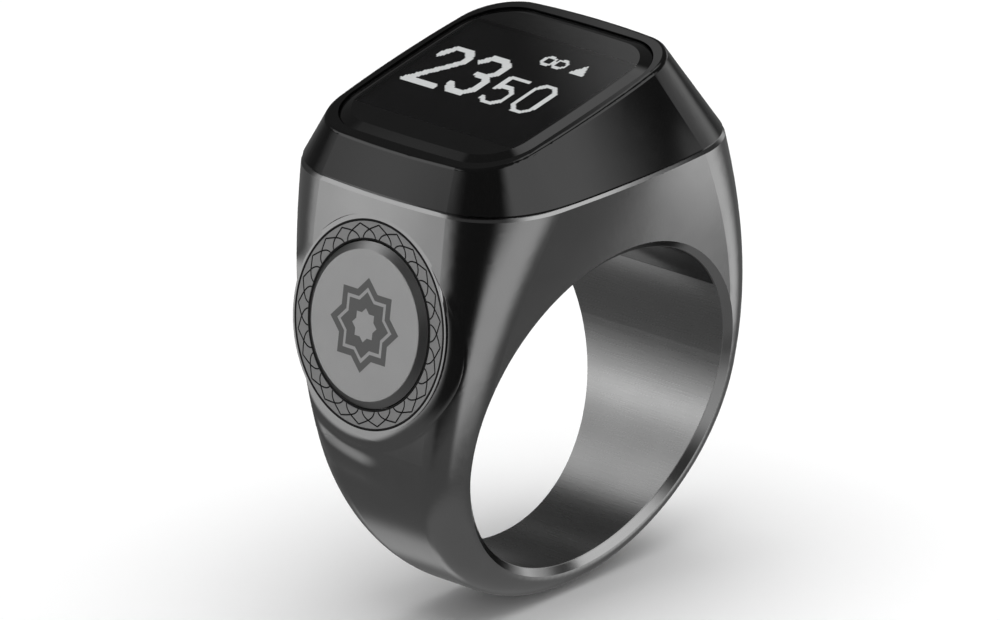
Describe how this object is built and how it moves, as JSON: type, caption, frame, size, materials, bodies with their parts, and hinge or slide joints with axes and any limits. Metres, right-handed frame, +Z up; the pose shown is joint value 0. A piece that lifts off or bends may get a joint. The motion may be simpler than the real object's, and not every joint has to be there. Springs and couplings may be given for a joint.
{
  "type": "finger-ring counter",
  "caption": "Smart finger ring for counting recitations: a flared metal shank with a round finger bore, a slanted display head on top and a sprung round push button in its side.",
  "frame": {"origin": "centre of the finger bore", "axes": "+Y along the finger bore, +Z up to the display, the push button on the -X side"},
  "size_m": [0.0255, 0.02, 0.0323],
  "materials": {
    "gunmetal": "polished dark gunmetal coating on cast metal",
    "button_metal": "satin gunmetal coating",
    "black_gloss": "glossy black",
    "window_glass": "black-printed cover glass",
    "black_film": "black double-sided film",
    "display_glass": "dark display glass",
    "grey_foam": "soft closed-cell foam",
    "frame_plastic": "moulded black plastic",
    "polyimide": "amber flexible circuit film",
    "board_laminate": "solder-masked laminate",
    "chip_plastic": "moulded chip body",
    "component_ceramic": "ceramic chip components",
    "socket_plastic": "cream moulded plastic",
    "tinned_steel": "bright tinned steel",
    "heavy_alloy": "sintered heavy alloy",
    "cell_foil": "laminated pouch foil",
    "lead_insulation": "soft wire insulation",
    "black_rubber": "black silicone rubber",
    "cover_plastic": "smooth black plastic",
    "gold_plate": "gold-plated contact"
  },
  "bodies": {
    "ring": {"battery_cell": "cell_foil", "battery_leads": "lead_insulation", "battery_pad": "grey_foam", "bezel": "black_gloss", "board_passives": "component_ceramic", "board_screws": "tinned_steel", "button_ring": "button_metal", "button_seal": "black_rubber", "charge_contacts": "gold_plate", "chip_antenna": "component_ceramic", "display_flex": "polyimide", "display_foam": "grey_foam", "display_frame": "frame_plastic", "display_panel": "display_glass", "display_socket": "socket_plastic", "head_seal": "black_rubber", "inner_cover": "cover_plastic", "lens": "window_glass", "lens_adhesive": "black_film", "main_board": "board_laminate", "motor_boot": "black_rubber", "motor_can": "tinned_steel", "motor_leads": "lead_insulation", "processor_chip": "chip_plastic", "radio_shield": "tinned_steel", "shank": "gunmetal", "switch_body": "socket_plastic", "switch_dome": "tinned_steel", "switch_flex": "polyimide"},
    "button": {"button_cap": "button_metal"},
    "rotor": {"motor_shaft": "tinned_steel", "motor_weight": "heavy_alloy"}
  },
  "joints": [
    {"name": "button_press", "type": "slide", "parent": "ring", "child": "button", "axis": [0.9755, 0, -0.2198], "range_m": [0, 0.0003], "stiffness_N_per_m": 4000, "springref_m": -0.0001, "deforming": ["switch_dome"]},
    {"name": "motor_spin", "type": "hinge", "parent": "ring", "child": "rotor", "pos_m": [0.00665, -0.00255, 0.01165], "axis": [0, -1, 0], "continuous": true}
  ]
}
